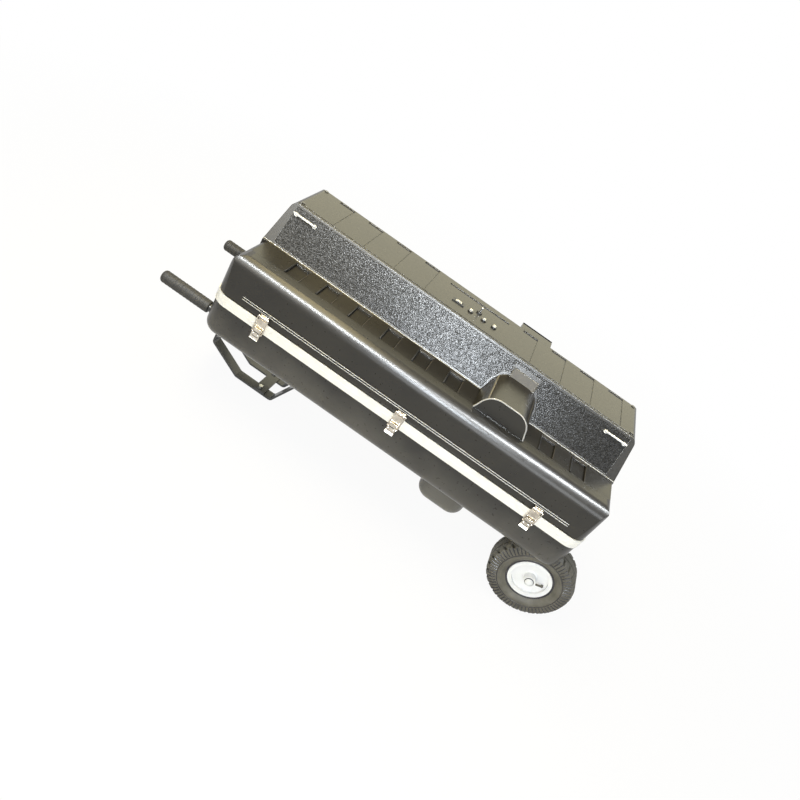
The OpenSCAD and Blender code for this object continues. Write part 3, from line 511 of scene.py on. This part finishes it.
def pocket_backs(mesh):
    """The back edge and the fine right edge of each pocket in the plateau."""
    for x in POCKET_XS:
        low = (x - BACK_EDGE_HALF, BACK_EDGE_Y[0], EDGE_FOOT)
        add_block(mesh, low, (x + BACK_EDGE_HALF, BACK_EDGE_Y[1], EDGE_TOP))
        low = (x + FINE_EDGE_X[0], FINE_EDGE_FRONT, EDGE_FOOT)
        add_block(mesh, low, (x + FINE_EDGE_X[1], EDGE_BACK, FINE_EDGE_TOP))


def pocket_sides(mesh):
    """The left edge of each pocket."""
    for x in POCKET_XS:
        low = (x + LEFT_EDGE_X[0], LEFT_EDGE_FRONT, EDGE_FOOT)
        add_block(mesh, low, (x + LEFT_EDGE_X[1], EDGE_BACK, EDGE_TOP))


HOOD_X = 226.0
HOOD_FRONT = -184.6
ARCH_Z = 496.0
ARCH_RADIUS = 49.4
ARCH_HALF = 24.3
ARCH_FROM = 164
ARCH_SWEEP = 74
ARCH_STEPS = 12
LIP_HALF = 80.8
LIP_FOOT_Z = 483.5


def hood_highlight_lip(mesh):
    """Follows the arch of the hood's front edge, an arc on either side of its middle."""
    lip = [(-LIP_HALF, LIP_FOOT_Z)]
    for step in range(ARCH_STEPS + 1):
        turn = math.radians(ARCH_FROM - ARCH_SWEEP * step / ARCH_STEPS)
        lip.append((ARCH_RADIUS * math.cos(turn) - ARCH_HALF, ARCH_Z + ARCH_RADIUS * math.sin(turn)))
    lip += [(-across, z) for across, z in reversed(lip)]
    add_bead(mesh, [(HOOD_X + across, HOOD_FRONT, z) for across, z in lip], radius=2.0)


RISER_LEFT = 190.0
RISER_RIGHT = 270.0
RISER_MARGIN = 1.5


def riser_frame(mesh):
    """Outlines the step behind the hood."""
    low, high = (-35.5, 542.5), (-16.5, 566.5)
    outline = [(RISER_LEFT, *low), (RISER_LEFT, *high), (RISER_RIGHT, *high), (RISER_RIGHT, *low)]
    add_bead(mesh, outline, radius=1.5)


def riser_face(mesh):
    """A face on that step, which reaches under its frame, in the lighter brown that paints its warm sheen."""
    low, high = (-35.9, 542.1), (-16.2, 566.8)
    left, right = RISER_LEFT - RISER_MARGIN, RISER_RIGHT + RISER_MARGIN
    add_plate(mesh, [(left, *low), (right, *low), (right, *high), (left, *high)], thick=0.9)


GROOVE_X = (-527, 539)
GROOVE_Y = -244.8
GROOVE_EDGES_Z = (381.0, 388.0)


def groove_highlight_lines(mesh):
    """Two fine beads along the edges of the groove in the front wall, dressed pale as painted highlight
    lines.
    """
    for z in GROOVE_EDGES_Z:
        add_bead(mesh, [(x, GROOVE_Y, z) for x in GROOVE_X], radius=1.25)


SLOT_STARTS = (-489, 190)
SLOTS_IN_ROW = 4
SLOT_HALF = 25
SLOT_Y = (175, 185)
LONG_SLOT_X = (-99, 113)
LONG_SLOT_Y = (154, 161)
SLOT_Z = (587.5, 589.0)


def slot_shade_strips(mesh):
    """Dark strips of painted shade on the floors of the slots near the back edge of the top, and of the long
    one behind the controls.
    """
    middles = [start + PITCH * k for start in SLOT_STARTS for k in range(SLOTS_IN_ROW)]
    spans = [((x - SLOT_HALF, x + SLOT_HALF), SLOT_Y) for x in middles]
    for x_span, y_span in spans + [(LONG_SLOT_X, LONG_SLOT_Y)]:
        low, high = zip(x_span, y_span, SLOT_Z)
        add_block(mesh, low, high)


LATCHES = {where: PIVOTS["lever_" + where][0] / MM - CASE_X for where in ("left", "mid", "right")}
FORWARD = (0, -1, 0)
RIVET_OFFSETS = (-8, 8)
KEEPER_RIVET_Y = -251.5
KEEPER_RIVET_Z = 377.6
LEVER_RIVET_Y = -258.8
LEVER_RIVET_Z = 319.5
SLOT_SHADE_HALF = 8.5
SLOT_SHADE_BACK = -258.2
SLOT_SHADES = ((-259.4, 325.0, 327.6), (-259.9, 311.6, 313.4))
LIP_REACH = 12.6
LEVER_LIP_Y = -261.2
LEVER_LIP_Z = 304.0


def keeper_rivets(mesh):
    """Two rivet heads on each keeper."""
    for x in LATCHES.values():
        for offset in RIVET_OFFSETS:
            add_dome(mesh, (x + offset, KEEPER_RIVET_Y, KEEPER_RIVET_Z), FORWARD, radius=2.6, height=1.6)


def lever_slot_shade(x):
    """Two dark blocks of painted shade across the lever of the latch at x, where slots would be."""
    def build(mesh):
        for front, low, high in SLOT_SHADES:
            add_block(mesh, (x - SLOT_SHADE_HALF, front, low), (x + SLOT_SHADE_HALF, SLOT_SHADE_BACK, high), soft=0.2)
    return build


def lever_rivets(x):
    """Two rivet heads and the round lower lip of the lever of the latch at x."""
    def build(mesh):
        for offset in RIVET_OFFSETS:
            add_dome(mesh, (x + offset, LEVER_RIVET_Y, LEVER_RIVET_Z), FORWARD, radius=2.3, height=1.3)
        lip = [(x + reach, LEVER_LIP_Y, LEVER_LIP_Z) for reach in (-LIP_REACH, LIP_REACH)]
        add_bead(mesh, lip, radius=1.4, sides=12)
    return build


WHEELS = {"front": -1, "rear": 1}
AXLE_X = PIVOTS["wheel_front"][0] / MM - CASE_X
AXLE_Z = PIVOTS["wheel_front"][2] / MM
RIB_COUNT = 64
RIB_PATH = ((99.0, 224.1), (110.0, 224.3), (122.5, 220.0))
RIB_RING_Y = 224.0
RIB_RING_RADIUS = 96.0
FOOT_Y = 210.6
FOOT_RADIUS = 70.0
SHADE_RING_Y = 223.2
SHADE_RING_RADIUS = 12.6


def axle_ring(y, radius, count=64):
    """Points of a ring about the axle."""
    return circle((AXLE_X, y, AXLE_Z), radius, "Y", count)


def tyre_ribs(side):
    """Ribs that run from the sidewall over the shoulder, with a ring inside them."""
    def build(mesh):
        for index in range(RIB_COUNT):
            turn = 2 * math.pi * (index + 0.25) / RIB_COUNT
            points = [
                (AXLE_X + reach * math.cos(turn), side * y, AXLE_Z + reach * math.sin(turn))
                for reach, y in RIB_PATH
            ]
            add_bead(mesh, points, radius=1.7, sides=6)
        ring = axle_ring(side * RIB_RING_Y, RIB_RING_RADIUS)
        add_bead(mesh, ring, radius=1.3, closed=True, sides=6)
    return build


def tyre_foot(side):
    """A round bead on the tyre just outside the rim."""
    def build(mesh):
        add_bead(mesh, axle_ring(side * FOOT_Y, FOOT_RADIUS), radius=4.2, closed=True, sides=12)
    return build


def cap_shade_ring(mesh):
    """A dark ring of painted shade at the foot of each axle cap."""
    for side in WHEELS.values():
        add_bead(mesh, axle_ring(side * SHADE_RING_Y, SHADE_RING_RADIUS, count=40), radius=1.5, closed=True)


FIRST_GRIP_RING_X = -780
GRIP_RING_PITCH = 12.4
GRIP_RING_COUNT = 12
GRIP_RING_RADIUS = 18.9
GRIP_Y = 172.5
GRIP_Z = 244


def grip_rings(side):
    """Fine rings along a handle grip."""
    def build(mesh):
        for index in range(GRIP_RING_COUNT):
            centre = (FIRST_GRIP_RING_X + GRIP_RING_PITCH * index, side * GRIP_Y, GRIP_Z)
            ring = circle(centre, GRIP_RING_RADIUS, "X", count=40)
            add_bead(mesh, ring, radius=0.8, closed=True, sides=6)
    return build


# The pockets' back edges are dressed in the painted warm sheen.
detail("pocket_backs", "lid", "warm_sheen_shell", "black_shell", pocket_backs)
detail("pocket_sides", "lid", "black_plastic", "black_shell", pocket_sides)
# The hood's lip is dressed pale as a painted highlight along the arch.
detail("hood_highlight_lip", "lid", "painted_highlight", "black_shell", hood_highlight_lip)
detail("riser_frame", "lid", "black_shell", "black_shell", riser_frame)
detail("riser_face", "lid", "warm_sheen_shell", "black_shell", riser_face)
# The groove's edge lines are painted highlights.
detail("groove_highlight_lines", "lid", "painted_highlight", "black_shell", groove_highlight_lines)
# Painted shade in the slots.
detail("slot_shade_strips", "lid", "slot_shade", "black_shell", slot_shade_strips)
detail("keeper_rivets", "lid", "bolt_zinc", "latch_nickel", keeper_rivets)
# Painted shade under the axle caps.
detail("cap_shade_ring", "base", "black_plastic", "black_plastic", cap_shade_ring)
for where, x in LATCHES.items():
    # The lever's dark blocks are painted shade.
    detail("lever_slot_shade_" + where, "lever_" + where, "black_plastic", "latch_nickel", lever_slot_shade(x))
    detail("lever_rivets_" + where, "lever_" + where, "bolt_zinc", "latch_nickel", lever_rivets(x))
for where, side in WHEELS.items():
    detail("tyre_ribs_" + where, "wheel_" + where, "foot_rubber", "tyre_rubber", tyre_ribs(side))
    detail("tyre_foot_" + where, "wheel_" + where, "foot_rubber", "tyre_rubber", tyre_foot(side))
    detail("grip_rings_" + where, "handle_" + where, "grip_rubber", "grip_rubber", grip_rings(side))


# Stage: a pale floor that shows white to the camera and keeps a soft shadow


def shows_background(tree):
    """1 for what the camera, mirrors and glass see, and 0 for light on the object."""
    path = add(tree, "ShaderNodeLightPath").outputs
    seen = path["Is Camera Ray"]
    for ray in ("Is Glossy Ray", "Is Transmission Ray"):
        seen = calc(tree, "MAXIMUM", seen, path[ray])
    return seen


FLOOR_SIZE = 40.0
NEAR = 1.0
FAR = 2.6
WHITE_SHARE_NEAR = 0.93


def make_floor():
    """A pale floor whose share of plain white grows to all of it far from the object."""
    bpy.ops.mesh.primitive_plane_add(size=FLOOR_SIZE, location=(0, 0, 0))
    floor = bpy.context.object
    floor.name = "floor"
    made, tree, shader = material("floor_white", Base_Color=(0.86, 0.86, 0.85, 1), Roughness=0.9)
    away = add(tree, "ShaderNodeVectorMath", {0: object_coords(tree)}, operation="LENGTH").outputs["Value"]
    share = remap(tree, away, NEAR, FAR, WHITE_SHARE_NEAR, 1.0)
    part_of = calc(tree, "MULTIPLY", shows_background(tree), share)
    white = add(tree, "ShaderNodeEmission", {"Color": (1, 1, 1, 1), "Strength": 1.0}).outputs[0]
    shown = add(tree, "ShaderNodeMixShader", {0: part_of, 1: shader.outputs[0], 2: white}).outputs[0]
    tree.links.new(shown, tree.nodes["Material Output"].inputs["Surface"])
    dress(floor, made)


def make_world(strength, tint):
    """Plain white as a background, and a dim tinted light on the object."""
    world = bpy.data.worlds.new("studio")
    SCENE.world = world
    world.use_nodes = True
    tree = world.node_tree
    seen = shows_background(tree)
    tree.links.new(remap(tree, seen, 0.0, 1.0, strength, 1.0), tree.nodes["Background"].inputs["Strength"])
    colour = blend_colours(tree, seen, rgba(tint), (1, 1, 1, 1))
    tree.links.new(colour, tree.nodes["Background"].inputs["Color"])


def make_lamp(name, place, aim, size, power, colour, gloss_only=False):
    """A softbox of a given size and power, which may show in reflections alone."""
    lamp = bpy.data.lights.new(name, "AREA")
    lamp.shape = "RECTANGLE"
    lamp.size, lamp.size_y = size
    lamp.energy = power
    lamp.color = colour
    held = bpy.data.objects.new(name, lamp)
    SCENE.collection.objects.link(held)
    held.location = place
    held.rotation_euler = (Vector(aim) - Vector(place)).to_track_quat("-Z", "Y").to_euler()
    held.visible_diffuse = not gloss_only


# Camera fitted to the photograph


CAMERA_AT = Vector((0.00462, -1.77332, 1.40046))
CAMERA_PITCH = 0.577153
CAMERA_ROLL = 0.613157
CAMERA_YAW = 0.00413
LENS_MM = 30.78
SENSOR_MM = 36.0


def make_camera():
    """Stands at CAMERA_AT, looks down by the pitch and is turned about its own line of sight by the roll."""
    cam = bpy.data.cameras.new("camera")
    cam.lens = LENS_MM
    cam.sensor_width = SENSOR_MM
    held = bpy.data.objects.new("camera", cam)
    SCENE.collection.objects.link(held)
    level = math.cos(CAMERA_PITCH)
    ahead = Vector((math.sin(CAMERA_YAW) * level, math.cos(CAMERA_YAW) * level, -math.sin(CAMERA_PITCH)))
    right = Vector((math.cos(CAMERA_YAW), -math.sin(CAMERA_YAW), 0.0))
    above = right.cross(ahead)
    turned_right = math.cos(CAMERA_ROLL) * right + math.sin(CAMERA_ROLL) * above
    turned_up = math.cos(CAMERA_ROLL) * above - math.sin(CAMERA_ROLL) * right
    rows = Matrix((turned_right, turned_up, -ahead)).transposed().to_4x4()
    held.matrix_world = Matrix.Translation(CAMERA_AT) @ rows
    SCENE.camera = held


# Floor, light and view; a lamp has a place, an aim, a size in metres, a power in watts and a colour


FLASH_WHITE = (0.86, 0.93, 1.0)
STRIP_WHITE = (0.93, 0.97, 1.0)
WORLD_STRENGTH = 0.35

make_floor()
make_world(WORLD_STRENGTH, FLASH_WHITE)
make_lamp("flash", (0.20, -1.74, 1.54), (0.1, -0.05, 0.5), (0.32, 0.24), 36.0, FLASH_WHITE, True)
make_lamp("left_strip", (-0.55, -1.25, 2.10), (0.0, -0.2, 0.48), (1.6, 0.12), 112.0, STRIP_WHITE, True)
make_lamp("right_strip", (0.85, -0.80, 2.30), (0.1, -0.2, 0.48), (1.3, 0.12), 112.0, STRIP_WHITE, True)
make_lamp("back_softbox", (0.0, 2.3, 1.75), (0.0, 0.05, 0.55), (3.6, 1.4), 22.0, (1.0, 0.92, 0.50))
make_lamp("overhead", (-0.7, -0.1, 2.5), (0.0, 0.0, 0.4), (2.4, 0.8), 52.0, (1.0, 0.84, 0.44))
make_lamp("left_fill", (-1.05, -1.72, 1.72), (-0.4, 0.0, 0.5), (0.9, 0.9), 13.0, (1.0, 0.97, 0.86))
make_lamp("front_fill", (0.7, -2.3, 0.75), (0.2, -0.2, 0.25), (1.8, 0.9), 29.0, (0.92, 0.96, 1.0))
make_camera()
SCENE.view_settings.view_transform = "Standard"
